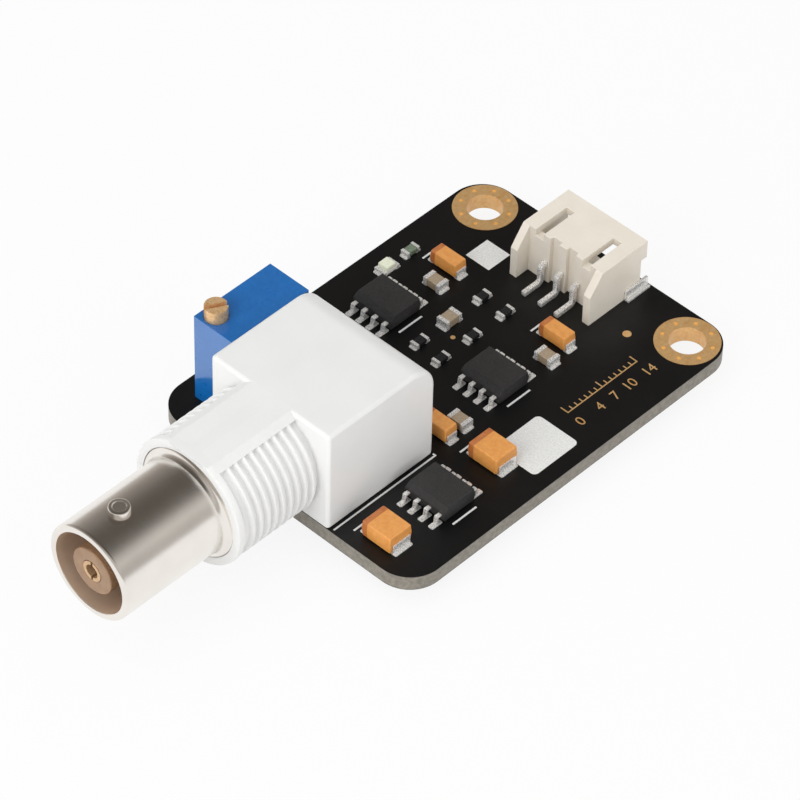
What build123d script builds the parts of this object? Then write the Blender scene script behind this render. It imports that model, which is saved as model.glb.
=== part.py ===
from build123d import *
from math import hypot, pi
import os

# Interface board for a pH probe: a coaxial bayonet socket, a multi-turn trimmer and a
# three-pin connector on a small circuit board, with the surface-mounted parts between them.
# Millimetres. +X runs from the coaxial socket to the connector edge and +Z is up.
# The origin lies under the middle of the whole outline, level with the lowest pin tips.

os.makedirs("parts", exist_ok=True)

# Circuit board
board_width = 32.0
board_thickness = 1.6
board_corner_radius = 3.4
pin_tail = 1.5
drill_clearance = 0.12
fit_gap = 0.02

# Mounting holes with plated rings, at the connector edge
mounting_end_inset = 3.2
mounting_side_inset = 3.4
mounting_ring_radius = 3.1
mounting_hole_radius = 1.75
plating = 0.05

# Coaxial socket
coax_reach = 21.8
coax_offset = 1.1
coax_axis_height = 5.6
housing_depth = 13.3
housing_width = 14.4
housing_height = 11.5
housing_overhang = 0.15
housing_edge_radius = 2.8
neck_length = 9.9
neck_radius = 6.35
shell_radius = 4.8
shell_bore_radius = 4.06
shell_flange_radius = 5.5
shell_flange_thickness = 0.8
shell_depth_in_housing = 7.1
rim_chamfer = 0.4
lug_radius = 1.0
lug_tip_radius = 5.5
lug_setback = 3.8
mating_depth = 8.6
insulator_nose_radius = 2.35
insulator_recess = 0.4
contact_radius = 1.05
contact_bore_radius = 0.69
contact_bore_depth = 5.2
contact_slot_width = 0.25
contact_rod_radius = 0.5
shoulder_thickness = 1.2
shoulder_bore_radius = 3.0
chamber_width = 6.0
chamber_back_wall = 1.4
chamber_roof = 2.6
ground_washer_thickness = 0.4
ground_blade_width = 1.1
post_radius = 1.0
post_spread = 10.16
post_setback = 4.75
post_depth = 1.8

# Trimmer
trimmer_length = 9.53
trimmer_width = 4.83
trimmer_height = 10.03
trimmer_front_inset = 3.3
trimmer_gap = 0.8
trimmer_wall = 0.4
trimmer_roof = 0.6
screw_inset = 1.4
screw_head_radius = 1.095
screw_protrusion = 1.3
screw_slot_width = 0.5
screw_slot_depth = 0.7
screw_slot_angle = -29.0
screw_clearance = 0.04
screw_boss_depth = 2.2
seal_section = 0.4
worm_outer_radius = 0.86
worm_tooth_height = 0.36
worm_turns = 4
wheel_teeth = 30
wheel_pitch_radius = 3.0
wheel_face_width = 0.8
wheel_bore_radius = 0.8
wheel_clearance = 0.05
wheel_tip_half = 0.06
wheel_root_half = 0.14
tooth_share = 0.36
hub_radius = 1.7
element_thickness = 0.6
wiper_thickness = 0.15
wiper_contact_radius = 1.9
wiper_finger_width = 0.4
wiper_arm_width = 0.8
wiper_gap = 0.03
wiper_standoff = 0.4
drum_radius = 2.3
base_thickness = 1.3
trimmer_pin_radius = 0.25
trimmer_pin_pitch = 2.54

# Three-pin connector
connector_width = 9.8
connector_height = 5.5
connector_depth = 7.7
connector_edge_inset = 0.4
connector_wall = 0.8
connector_floor = 0.6
connector_top_wall = 0.8
connector_back_setback = 1.6
connector_back_wall = 0.9
connector_wing_height = 3.35
connector_lip = 0.75
connector_lip_height = 2.0
connector_slot_spread = 5.8
connector_slot_width = 1.0
connector_slot_length = 4.2
contact_pitch = 2.0
contact_size = 0.5
contact_height = 2.2
contact_foot_reach = 1.3
contact_leg_gap = 0.6
contact_setback = 1.0
contact_bend = 0.4
contact_notch_width = 1.1
tab_length = 3.0
tab_height = 1.2
tab_reach = 0.6
tab_thickness = 0.3
tab_edge_inset = 0.3

# Surface-mounted parts
chip_length = 4.9
chip_width = 3.9
chip_thickness = 1.5
chip_standoff = 0.1
chip_bevel = 0.45
chip_draft = 7.0
chip_lead_pitch = 1.27
chip_lead_width = 0.42
chip_lead_thickness = 0.2
chip_lead_reach = 1.05
chip_lead_foot = 0.55
chip_lead_slope = 0.12
leads_a_side = 4
large_tantalum_width = 2.8
large_tantalum_length = 3.5
large_tantalum_height = 1.8
small_tantalum_width = 1.6
small_tantalum_length = 3.2
small_tantalum_height = 1.5
tantalum_draft = 5.0
tantalum_strip = 0.14
tantalum_strip_share = 0.75
tantalum_foot = 0.8
ceramic_length = 2.0
ceramic_width = 1.25
ceramic_height = 0.85
ceramic_end = 0.42
resistor_length = 1.6
resistor_width = 0.85
resistor_height = 0.45
resistor_end = 0.3
end_plating = 0.03
led_length = 2.0
led_width = 1.25
led_base_height = 0.4
led_lens_height = 0.45
led_lens_length = 1.3
diode_height = 0.55
solder_height = 0.9
solder_spread = 0.6
solder_tip_spread = 0.15
solder_sides = 10

# Clear spaces between the columns of parts, from the coaxial socket to the connector
housing_to_tantalum = 1.55
tantalum_to_ceramic = 0.58
ceramic_to_chip = 2.47
chip_to_ceramic = 1.72
ceramic_to_tantalum = 1.13
tantalum_to_contact = 1.3

# Rows of parts behind the socket, measured from the board's middle line
led_row = 13.3
far_chip_row = 9.7
far_ceramic_row = 8.6
far_tantalum_row = 9.5
upper_row = 4.4
lower_row = 1.5
middle_chip_row = -3.74
middle_ceramic_row = -5.25
middle_tantalum_row = -4.1
upper_resistor_shift = -1.2
lower_resistor_shift = -1.45
upper_ceramic_shift = 2.7
end_resistor_shift = 1.1
led_shift = 3.75
diode_shift = 6.85
rear_capacitor_shift = -0.4

# The row beside the socket
near_row_gap = 1.72
near_row_inset = 1.5
near_row_spacing = 2.33

# Planes and edges that the pieces share
housing_back_from_front = housing_depth - housing_overhang
chip_span = chip_width + 2 * chip_lead_reach
columns = [
    housing_to_tantalum, small_tantalum_width, tantalum_to_ceramic, ceramic_width,
    ceramic_to_chip, chip_span, chip_to_ceramic, ceramic_width,
    ceramic_to_tantalum, small_tantalum_width, tantalum_to_contact,
]
connector_space = contact_foot_reach + connector_depth + connector_edge_inset
board_length = housing_back_from_front + sum(columns) + connector_space
board_front = (coax_reach - board_length) / 2
board_back = board_front + board_length
board_bottom = pin_tail
board_top = board_bottom + board_thickness
housing_front = board_front - housing_overhang
housing_back = housing_front + housing_depth
coax_front = board_front - coax_reach
coax_axis = board_top + coax_axis_height


def label_and_save(piece, name):
    piece.part.label = name
    export_step(piece.part, f"parts/{name}.step")


# Where the holes and pins go
mounting_points = [
    (board_back - mounting_end_inset, side * (board_width / 2 - mounting_side_inset))
    for side in (-1, 1)
]
mounting_drill_radius = mounting_hole_radius + plating + fit_gap
post_points = [
    (housing_front + post_setback, coax_offset + side * post_spread / 2) for side in (-1, 1)
]
washer_back = housing_front + shell_depth_in_housing
ground_point = (washer_back - ground_washer_thickness / 2, coax_offset)
chamber_front = washer_back + shoulder_thickness
chamber_back = housing_back - chamber_back_wall
signal_point = ((chamber_front + chamber_back) / 2, coax_offset)
trimmer_front = board_front + trimmer_front_inset
trimmer_side = coax_offset + housing_width / 2 + trimmer_gap
trimmer_middle = (trimmer_front + trimmer_length / 2, trimmer_side + trimmer_width / 2)
trimmer_pin_points = [
    (trimmer_middle[0] + step * trimmer_pin_pitch, trimmer_middle[1]) for step in (-1, 0, 1)
]
ground_tail_radius = hypot(ground_washer_thickness, ground_blade_width) / 2
drilled = (
    [(point, post_radius) for point in post_points]
    + [(ground_point, ground_tail_radius), (signal_point, contact_rod_radius)]
    + [(point, trimmer_pin_radius) for point in trimmer_pin_points]
)

# Circuit board
with BuildPart() as circuit_board:
    with BuildSketch(Plane.XY.offset(board_bottom)):
        with Locations(((board_front + board_back) / 2, 0)):
            RectangleRounded(board_length, board_width, board_corner_radius)
        with Locations(mounting_points):
            Circle(mounting_drill_radius, mode=Mode.SUBTRACT)
        for point, radius in drilled:
            with Locations(point):
                Circle(radius + drill_clearance, mode=Mode.SUBTRACT)
    extrude(amount=board_thickness)
label_and_save(circuit_board, "circuit_board")


# Plated ring: a flange on each face joined through the hole
def mounting_ring(point):
    with BuildPart() as ring:
        for height in (board_bottom - plating, board_top):
            with BuildSketch(Plane.XY.offset(height)):
                with Locations(point):
                    Circle(mounting_ring_radius)
                    Circle(mounting_hole_radius, mode=Mode.SUBTRACT)
            extrude(amount=plating)
        with BuildSketch(Plane.XY.offset(board_bottom)):
            with Locations(point):
                Circle(mounting_hole_radius + plating)
                Circle(mounting_hole_radius, mode=Mode.SUBTRACT)
        extrude(amount=board_thickness)
    return ring


for side_name, point in zip(("near", "far"), mounting_points):
    label_and_save(mounting_ring(point), f"mounting_ring_{side_name}")


# Coaxial socket: everything turned is drawn on this plane, axial distance first
coax_profile = Plane(
    origin=(0, coax_offset, coax_axis), x_dir=(1, 0, 0), z_dir=(0, -1, 0)
)
coax_line = Axis((0, coax_offset, coax_axis), (1, 0, 0))
coax_section = Plane(
    origin=(housing_front, coax_offset, coax_axis), x_dir=(0, 1, 0), z_dir=(1, 0, 0)
)
shell_hole_radius = shell_radius + fit_gap
flange_hole_radius = shell_flange_radius + fit_gap
neck_front = housing_front - neck_length
post_hole_radius = post_radius + fit_gap
blade_slot_width = ground_blade_width + 2 * drill_clearance

# The moulded housing: a box with its upper back edge rounded and a neck with a flat on top
with BuildPart() as bnc_housing:
    with BuildSketch(Plane.XY.offset(board_top)):
        with Locations(((housing_front + housing_back) / 2, coax_offset)):
            Rectangle(housing_depth, housing_width)
    extrude(amount=housing_height)
    top_back = bnc_housing.edges().filter_by(Axis.Y).group_by(Axis.X)[-1].sort_by(Axis.Z)[-1]
    fillet(top_back, radius=housing_edge_radius)
    with BuildSketch(coax_section):
        Circle(neck_radius)
        with Locations((0, housing_height - coax_axis_height + neck_radius)):
            Rectangle(2 * neck_radius, 2 * neck_radius, mode=Mode.SUBTRACT)
    extrude(amount=-neck_length)
    with BuildSketch(coax_section.offset(-neck_length)):
        Circle(flange_hole_radius)
    extrude(amount=shell_flange_thickness + fit_gap, mode=Mode.SUBTRACT)
    with BuildSketch(coax_section.offset(-neck_length)):
        Circle(shell_hole_radius)
    extrude(amount=neck_length + shell_depth_in_housing, mode=Mode.SUBTRACT)
    with BuildSketch(coax_section.offset(shell_depth_in_housing)):
        Circle(shoulder_bore_radius)
    extrude(amount=shoulder_thickness, mode=Mode.SUBTRACT)
    with BuildSketch(Plane.XY.offset(board_top)):
        with Locations(((chamber_front + chamber_back) / 2, coax_offset)):
            Rectangle(chamber_back - chamber_front, chamber_width)
    extrude(amount=housing_height - chamber_roof, mode=Mode.SUBTRACT)
    with BuildSketch(Plane.XY.offset(board_top)):
        with Locations(ground_point):
            Rectangle(ground_washer_thickness + 2 * fit_gap, blade_slot_width)
    extrude(amount=coax_axis_height, mode=Mode.SUBTRACT)
    with BuildSketch(Plane.XY.offset(board_top)):
        with Locations(post_points):
            Circle(post_hole_radius)
    extrude(amount=post_depth + fit_gap, mode=Mode.SUBTRACT)
label_and_save(bnc_housing, "bnc_housing")

# The metal shell: a tube with a flange seated in the neck and two bayonet lugs
shell_back = washer_back - ground_washer_thickness
flange_front = neck_front
flange_back = flange_front + shell_flange_thickness
with BuildPart() as bnc_shell:
    with BuildSketch(coax_profile):
        with BuildLine():
            Polyline(
                (coax_front, shell_bore_radius),
                (coax_front, shell_radius - rim_chamfer),
                (coax_front + rim_chamfer, shell_radius),
                (flange_front, shell_radius),
                (flange_front, shell_flange_radius),
                (flange_back, shell_flange_radius),
                (flange_back, shell_radius),
                (shell_back, shell_radius),
                (shell_back, shell_bore_radius),
                close=True,
            )
        make_face()
    revolve(axis=coax_line)
    for direction in (-1, 1):
        lug_plane = Plane(
            origin=(coax_front + lug_setback, coax_offset, coax_axis), x_dir=(1, 0, 0),
            z_dir=(0, 0, direction),
        )
        with BuildSketch(lug_plane.offset((shell_bore_radius + shell_radius) / 2)):
            Circle(lug_radius)
        extrude(amount=lug_tip_radius - (shell_bore_radius + shell_radius) / 2)
label_and_save(bnc_shell, "bnc_shell")

# The insulator: a slim nose in the mating space and a full plug behind it
insulator_front = coax_front + insulator_recess
nose_back = coax_front + mating_depth
insulator_back = chamber_front + fit_gap
plug_radius = shell_bore_radius - fit_gap
collar_radius = shoulder_bore_radius - fit_gap
contact_hole_radius = contact_radius + fit_gap
contact_back = nose_back + contact_bore_depth
rod_hole_radius = contact_rod_radius + fit_gap
with BuildPart() as bnc_insulator:
    with BuildSketch(coax_profile):
        with BuildLine():
            Polyline(
                (insulator_front, contact_hole_radius),
                (insulator_front, insulator_nose_radius),
                (nose_back, insulator_nose_radius),
                (nose_back, plug_radius),
                (shell_back, plug_radius),
                (shell_back, collar_radius),
                (insulator_back, collar_radius),
                (insulator_back, rod_hole_radius),
                (contact_back, rod_hole_radius),
                (contact_back, contact_hole_radius),
                close=True,
            )
        make_face()
    revolve(axis=coax_line)
label_and_save(bnc_insulator, "bnc_insulator")

# The centre contact: a split socket on a rod that bends down to its hole in the board
with BuildPart() as bnc_center_contact:
    with BuildSketch(coax_profile):
        with BuildLine():
            Polyline(
                (insulator_front, contact_bore_radius),
                (insulator_front, contact_radius),
                (contact_back, contact_radius),
                (contact_back, 0),
                (insulator_front + contact_bore_depth, 0),
                (insulator_front + contact_bore_depth, contact_bore_radius),
                close=True,
            )
        make_face()
    revolve(axis=coax_line)
    with BuildSketch(coax_section.offset(insulator_front - housing_front)):
        Rectangle(contact_slot_width, 2 * contact_radius + 1)
    extrude(amount=contact_bore_depth, mode=Mode.SUBTRACT)
    with BuildLine() as rod_path:
        Polyline(
            (contact_back, coax_offset, coax_axis),
            (signal_point[0], coax_offset, coax_axis),
            (signal_point[0], coax_offset, board_bottom - pin_tail),
        )
    with BuildSketch(coax_section.offset(contact_back - housing_front)):
        Circle(contact_rod_radius)
    sweep(path=rod_path.wires()[0], transition=Transition.RIGHT)
label_and_save(bnc_center_contact, "bnc_center_contact")

# The ground contact: a washer behind the shell with a blade down to its hole in the board
with BuildPart() as bnc_ground_contact:
    with BuildSketch(coax_section.offset(shell_depth_in_housing - ground_washer_thickness)):
        Circle(shell_radius)
        with Locations((0, -(coax_axis - board_bottom + pin_tail) / 2)):
            Rectangle(ground_blade_width, coax_axis - board_bottom + pin_tail)
        Circle(shoulder_bore_radius, mode=Mode.SUBTRACT)
    extrude(amount=ground_washer_thickness)
label_and_save(bnc_ground_contact, "bnc_ground_contact")

# Two posts hold the housing down
for side_name, point in zip(("near", "far"), post_points):
    with BuildPart() as bnc_post:
        with BuildSketch(Plane.XY.offset(board_bottom - pin_tail)):
            with Locations(point):
                Circle(post_radius)
        extrude(amount=pin_tail + board_thickness + post_depth)
        chamfer(bnc_post.edges().filter_by(GeomType.CIRCLE).sort_by(Axis.Z)[0], length=post_radius / 4)
    label_and_save(bnc_post, f"bnc_post_{side_name}")

# Trimmer: the screw's worm stands beside the toothed wheel, half way up the case
trimmer_back = trimmer_front + trimmer_length
trimmer_top = board_top + trimmer_height
screw_x = trimmer_front + screw_inset
screw_y = trimmer_side + trimmer_width - screw_inset
worm_root_radius = worm_outer_radius - worm_tooth_height
worm_pitch_radius = (worm_outer_radius + worm_root_radius) / 2
wheel_x = screw_x + worm_pitch_radius + wheel_pitch_radius
tooth_pitch = 2 * pi * wheel_pitch_radius / wheel_teeth
tooth_addendum = worm_tooth_height / 2 - wheel_clearance
wheel_tip_radius = wheel_pitch_radius + tooth_addendum
wheel_root_radius = wheel_pitch_radius - worm_tooth_height / 2 - wheel_clearance
cavity_floor = board_top + base_thickness
cavity_top = trimmer_top - trimmer_roof
wheel_z = (cavity_floor + cavity_top) / 2
screw_hole_radius = screw_head_radius + screw_clearance
boss_bottom = trimmer_top - screw_boss_depth
wheel_front = screw_y - wheel_face_width / 2
wheel_back = screw_y + wheel_face_width / 2
inner_side = trimmer_side + trimmer_wall
outer_side = trimmer_side + trimmer_width - trimmer_wall
wheel_line = Axis((wheel_x, screw_y, wheel_z), (0, 1, 0))


def wheel_plane(y):
    return Plane(origin=(wheel_x, y, wheel_z), x_dir=(1, 0, 0), z_dir=(0, -1, 0))


# The case: a moulded cap with a boss for the screw and a pivot for the wheel
with BuildPart() as trimmer_housing:
    with BuildSketch(Plane.XY.offset(board_top)):
        with Locations(trimmer_middle):
            Rectangle(trimmer_length, trimmer_width)
    extrude(amount=trimmer_height)
    with BuildSketch(Plane.XY.offset(board_top)):
        with Locations(trimmer_middle):
            Rectangle(trimmer_length - 2 * trimmer_wall, trimmer_width - 2 * trimmer_wall)
    extrude(amount=trimmer_height - trimmer_roof, mode=Mode.SUBTRACT)
    boss_side = screw_inset + screw_hole_radius + trimmer_wall
    with BuildSketch(Plane.XY.offset(boss_bottom)):
        with Locations((trimmer_front, trimmer_side + trimmer_width)):
            Rectangle(boss_side, boss_side, align=(Align.MIN, Align.MAX))
    extrude(amount=screw_boss_depth)
    with BuildSketch(wheel_plane(outer_side)):
        Circle(wheel_bore_radius - wheel_clearance)
    extrude(amount=outer_side - wheel_front - wheel_face_width / 4)
    with BuildSketch(Plane.XY.offset(boss_bottom)):
        with Locations((screw_x, screw_y)):
            Circle(screw_hole_radius)
    extrude(amount=screw_boss_depth, mode=Mode.SUBTRACT)
label_and_save(trimmer_housing, "trimmer_housing")

# The adjusting screw: slotted head, seal groove, one-start worm and a foot in the base
screw_top = trimmer_top + screw_protrusion
head_bottom = boss_bottom + screw_clearance
seal_z = boss_bottom + screw_boss_depth / 2
groove_top = seal_z + seal_section / 2 + fit_gap
groove_bottom = seal_z - seal_section / 2 - fit_gap
groove_radius = screw_hole_radius - 2 * fit_gap - seal_section
worm_length = worm_turns * tooth_pitch
worm_bottom = wheel_z - worm_length / 2
worm_center = (screw_x, screw_y, worm_bottom)
foot_bottom = cavity_floor - base_thickness / 2
screw_plane = Plane(origin=(screw_x, screw_y, 0), x_dir=(1, 0, 0), z_dir=(0, -1, 0))
crest_half = tooth_pitch * tooth_share / 4
root_half = tooth_pitch * tooth_share * 3 / 4
with BuildPart() as trimmer_screw:
    with BuildSketch(screw_plane):
        with BuildLine():
            Polyline(
                (0, foot_bottom),
                (worm_root_radius, foot_bottom),
                (worm_root_radius, head_bottom),
                (screw_head_radius, head_bottom),
                (screw_head_radius, groove_bottom),
                (groove_radius, groove_bottom),
                (groove_radius, groove_top),
                (screw_head_radius, groove_top),
                (screw_head_radius, screw_top),
                (0, screw_top),
                close=True,
            )
        make_face()
    revolve(axis=Axis((screw_x, screw_y, 0), (0, 0, 1)))
    with BuildLine() as worm_path:
        Helix(tooth_pitch, worm_length, worm_pitch_radius, center=worm_center)
    with BuildSketch(Plane(origin=worm_center, x_dir=(1, 0, 0), z_dir=(0, -1, 0))):
        with BuildLine():
            Polyline(
                (worm_root_radius - wheel_clearance, -root_half),
                (worm_outer_radius, -crest_half),
                (worm_outer_radius, crest_half),
                (worm_root_radius - wheel_clearance, root_half),
                close=True,
            )
        make_face()
    sweep(path=worm_path.wires()[0], is_frenet=True)
    with BuildSketch(Plane.XY.offset(screw_top - screw_slot_depth)):
        with Locations((screw_x, screw_y)):
            Rectangle(3 * screw_head_radius, screw_slot_width, rotation=screw_slot_angle)
    extrude(amount=screw_slot_depth, mode=Mode.SUBTRACT)
label_and_save(trimmer_screw, "trimmer_screw")

# The seal ring lies in the screw's groove
with BuildPart() as trimmer_seal:
    with BuildSketch(screw_plane):
        with Locations((groove_radius + fit_gap + seal_section / 2, seal_z)):
            Rectangle(seal_section, seal_section)
    revolve(axis=Axis((screw_x, screw_y, 0), (0, 0, 1)))
label_and_save(trimmer_seal, "trimmer_seal")

# The wheel: teeth in mesh with the worm, a hub towards the far wall and a drum for the wiper
element_face = inner_side + element_thickness
drum_face = element_face + wiper_standoff + wiper_thickness
hub_face = outer_side - wheel_clearance
pivot_end = wheel_front + wheel_face_width / 4
with BuildPart() as trimmer_rotor:
    with BuildSketch(wheel_plane(wheel_back)):
        Circle(wheel_root_radius)
        with PolarLocations(0, wheel_teeth, start_angle=180 / wheel_teeth):
            Polygon(
                (wheel_root_radius - wheel_clearance, -wheel_root_half),
                (wheel_tip_radius, -wheel_tip_half),
                (wheel_tip_radius, wheel_tip_half),
                (wheel_root_radius - wheel_clearance, wheel_root_half),
                align=None,
            )
    extrude(amount=wheel_face_width)
    with BuildSketch(wheel_plane(hub_face)):
        Circle(hub_radius)
    extrude(amount=hub_face - wheel_back)
    with BuildSketch(wheel_plane(wheel_front)):
        Circle(drum_radius)
    extrude(amount=wheel_front - drum_face)
    with BuildSketch(wheel_plane(hub_face)):
        Circle(wheel_bore_radius)
    extrude(amount=hub_face - pivot_end + wheel_clearance, mode=Mode.SUBTRACT)
label_and_save(trimmer_rotor, "trimmer_rotor")

# The wiper: a spring arm across the drum with two fingers that sweep the resistive element
with BuildPart() as trimmer_wiper:
    with BuildSketch(wheel_plane(drum_face)):
        Rectangle(2 * wiper_contact_radius + wiper_arm_width, wiper_arm_width)
    extrude(amount=wiper_thickness)
    with BuildSketch(wheel_plane(drum_face - wiper_thickness)):
        with Locations((0, 0), (wiper_contact_radius, 0)):
            Rectangle(wiper_finger_width, wiper_finger_width)
    extrude(amount=wiper_standoff - wiper_gap)
label_and_save(trimmer_wiper, "trimmer_wiper")

# The resistive element stands on the resin base against the near wall
cavity_length = trimmer_length - 2 * trimmer_wall
cavity_width = trimmer_width - 2 * trimmer_wall
with BuildPart() as trimmer_element:
    with BuildSketch(Plane.XY.offset(cavity_floor)):
        with Locations((trimmer_middle[0], inner_side)):
            Rectangle(cavity_length, element_thickness, align=(Align.CENTER, Align.MIN))
    extrude(amount=cavity_top - cavity_floor)
label_and_save(trimmer_element, "trimmer_element")

with BuildPart() as trimmer_base:
    with BuildSketch(Plane.XY.offset(board_top)):
        with Locations(trimmer_middle):
            Rectangle(cavity_length, cavity_width)
        with Locations(trimmer_pin_points):
            RegularPolygon(
                trimmer_pin_radius + fit_gap, 8, major_radius=False, mode=Mode.SUBTRACT
            )
    extrude(amount=base_thickness)
    with BuildSketch(Plane.XY.offset(foot_bottom - fit_gap)):
        with Locations((screw_x, screw_y)):
            Circle(worm_root_radius + screw_clearance)
    extrude(amount=base_thickness, mode=Mode.SUBTRACT)
label_and_save(trimmer_base, "trimmer_base")


# Each pin rises through the base and bends over to the element
def trimmer_pin(point):
    bend_height = cavity_floor + trimmer_pin_radius + fit_gap
    with BuildPart() as pin:
        with BuildLine() as pin_path:
            Polyline(
                (point[0], point[1], board_bottom - pin_tail),
                (point[0], point[1], bend_height),
                (point[0], element_face, bend_height),
            )
        with BuildSketch(Plane.XY.offset(board_bottom - pin_tail)):
            with Locations(point):
                Circle(trimmer_pin_radius)
        sweep(path=pin_path.wires()[0], transition=Transition.RIGHT)
    return pin


for number, point in enumerate(trimmer_pin_points, start=1):
    label_and_save(trimmer_pin(point), f"trimmer_pin_{number}")

# Three-pin connector, centred on the board's middle line
connector_mouth = board_back - connector_edge_inset
connector_back = connector_mouth - connector_depth
connector_wall_front = connector_back + connector_back_setback
connector_wall_back = connector_wall_front + connector_back_wall
connector_top = board_top + connector_height
connector_inside = connector_width - 2 * connector_wall
contact_z = board_top + contact_height
contact_rows = [step * contact_pitch for step in (-1, 0, 1)]
side_view = Plane(origin=(0, 0, 0), x_dir=(1, 0, 0), z_dir=(0, -1, 0))


def back_view(x):
    return Plane(origin=(x, 0, 0), x_dir=(0, 1, 0), z_dir=(1, 0, 0))


with BuildPart() as socket_housing:
    with BuildSketch(side_view):
        Polygon(
            (connector_back, board_top),
            (connector_mouth - connector_lip, board_top),
            (connector_mouth - connector_lip, connector_top - connector_lip_height),
            (connector_mouth, connector_top - connector_lip_height),
            (connector_mouth, connector_top),
            (connector_wall_front, connector_top),
            (connector_back, board_top + connector_wing_height),
            align=None,
        )
    extrude(amount=connector_width / 2, both=True)
    # the space between the wings, where the contacts come down
    with BuildSketch(Plane.XY.offset(board_top)):
        with Locations((connector_back, 0)):
            Rectangle(connector_back_setback, connector_inside, align=(Align.MIN, Align.CENTER))
        with Locations(
            (connector_wall_front, -contact_pitch / 2), (connector_wall_front, contact_pitch / 2)
        ):
            Rectangle(connector_back_wall, contact_notch_width, align=(Align.CENTER, Align.CENTER))
    extrude(amount=connector_height, mode=Mode.SUBTRACT)
    # the mouth
    with BuildSketch(back_view(connector_wall_back)):
        with Locations((0, board_top + connector_floor)):
            Rectangle(
                connector_inside,
                connector_height - connector_floor - connector_top_wall,
                align=(Align.CENTER, Align.MIN),
            )
    extrude(amount=connector_depth, mode=Mode.SUBTRACT)
    # two slots in the top and three snug holes in the back wall
    with BuildSketch(Plane.XY.offset(connector_top - connector_top_wall)):
        with Locations(
            (connector_wall_front, -connector_slot_spread / 2),
            (connector_wall_front, connector_slot_spread / 2),
        ):
            Rectangle(
                connector_slot_length, connector_slot_width, align=(Align.MIN, Align.CENTER)
            )
    extrude(amount=connector_top_wall, mode=Mode.SUBTRACT)
    with BuildSketch(back_view(connector_wall_front)):
        with Locations([(row, contact_z) for row in contact_rows]):
            Rectangle(contact_size + 2 * fit_gap, contact_size + 2 * fit_gap)
    extrude(amount=connector_back_wall, mode=Mode.SUBTRACT)
label_and_save(socket_housing, "socket_housing")


# Each contact runs from the mouth through the back wall and down to a foot on the board
def socket_contact(row):
    front = connector_mouth - connector_lip - contact_setback
    leg = connector_wall_front - contact_leg_gap
    foot_z = board_top + contact_size / 2
    with BuildPart() as contact:
        with BuildLine() as contact_path:
            FilletPolyline(
                (front, row, contact_z),
                (leg, row, contact_z),
                (leg, row, foot_z),
                (connector_back - contact_foot_reach, row, foot_z),
                radius=contact_bend,
            )
        with BuildSketch(back_view(front)):
            with Locations((row, contact_z)):
                Rectangle(contact_size, contact_size)
        sweep(path=contact_path.wires()[0])
    return contact


for number, row in enumerate(contact_rows, start=1):
    label_and_save(socket_contact(row), f"socket_contact_{number}")


# Bent solder tab on each side of the connector
def socket_tab(side):
    tab_back = board_back - tab_edge_inset - tab_length
    wall_side = connector_width / 2
    with BuildPart() as tab:
        with BuildSketch(back_view(tab_back)):
            Polygon(
                (side * wall_side, board_top),
                (side * (wall_side + tab_reach), board_top),
                (side * (wall_side + tab_reach), board_top + tab_thickness),
                (side * (wall_side + tab_thickness), board_top + tab_thickness),
                (side * (wall_side + tab_thickness), board_top + tab_height),
                (side * wall_side, board_top + tab_height),
                align=None,
            )
        extrude(amount=tab_length)
    return tab


for side_name, side in (("near", -1), ("far", 1)):
    label_and_save(socket_tab(side), f"socket_tab_{side_name}")

# Column middles behind the socket, from the widths and the spaces between them
rear_tantalum_x = housing_back + housing_to_tantalum + small_tantalum_width / 2
rear_ceramic_x = rear_tantalum_x + small_tantalum_width / 2 + tantalum_to_ceramic + ceramic_width / 2
chip_x = rear_ceramic_x + ceramic_width / 2 + ceramic_to_chip + chip_span / 2
front_ceramic_x = chip_x + chip_span / 2 + chip_to_ceramic + ceramic_width / 2
front_tantalum_x = front_ceramic_x + ceramic_width / 2 + ceramic_to_tantalum + small_tantalum_width / 2

# The row beside the socket
near_row = coax_offset - housing_width / 2 - near_row_gap - chip_length / 2
near_tantalum_x = board_front + near_row_inset + large_tantalum_width / 2
near_chip_x = near_tantalum_x + large_tantalum_width / 2 + near_row_spacing + chip_span / 2
corner_tantalum_x = near_chip_x + chip_span / 2 + near_row_spacing + large_tantalum_width / 2
chip_points = [(chip_x, far_chip_row), (chip_x, middle_chip_row), (near_chip_x, near_row)]
chip_middle_z = board_top + chip_standoff + chip_thickness / 2


# Eight-lead chip: a body with drafted sides and a bevel along its first edge
def chip_body(point):
    with BuildPart() as body:
        for direction in (1, -1):
            with BuildSketch(Plane.XY.offset(chip_middle_z)):
                with Locations(point):
                    Rectangle(chip_width, chip_length)
            extrude(amount=direction * chip_thickness / 2, taper=chip_draft)
        first_edge = body.edges().filter_by(Axis.Y).group_by(Axis.Z)[-1].sort_by(Axis.X)[0]
        chamfer(first_edge, length=chip_bevel)
    return body


def chip_leads(point):
    sole = board_top
    shoulder = chip_middle_z - chip_lead_thickness / 2
    knee = chip_lead_reach - chip_lead_foot
    with BuildPart() as leads:
        for side in (-1, 1):
            root = point[0] + side * chip_width / 2
            for step in range(leads_a_side):
                row = point[1] + (step - (leads_a_side - 1) / 2) * chip_lead_pitch
                lead_side = Plane(origin=(root, row, 0), x_dir=(side, 0, 0), z_dir=(0, -side, 0))
                with BuildSketch(lead_side):
                    Polygon(
                        (0, shoulder),
                        (knee - chip_lead_slope, shoulder),
                        (knee, sole),
                        (chip_lead_reach, sole),
                        (chip_lead_reach, sole + chip_lead_thickness),
                        (knee + chip_lead_thickness, sole + chip_lead_thickness),
                        (knee + chip_lead_thickness - chip_lead_slope, shoulder + chip_lead_thickness),
                        (0, shoulder + chip_lead_thickness),
                        align=None,
                    )
                extrude(amount=chip_lead_width / 2, both=True)
    return leads


for number, point in enumerate(chip_points, start=1):
    label_and_save(chip_body(point), f"chip_{number}_body")
    label_and_save(chip_leads(point), f"chip_{number}_leads")


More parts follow.
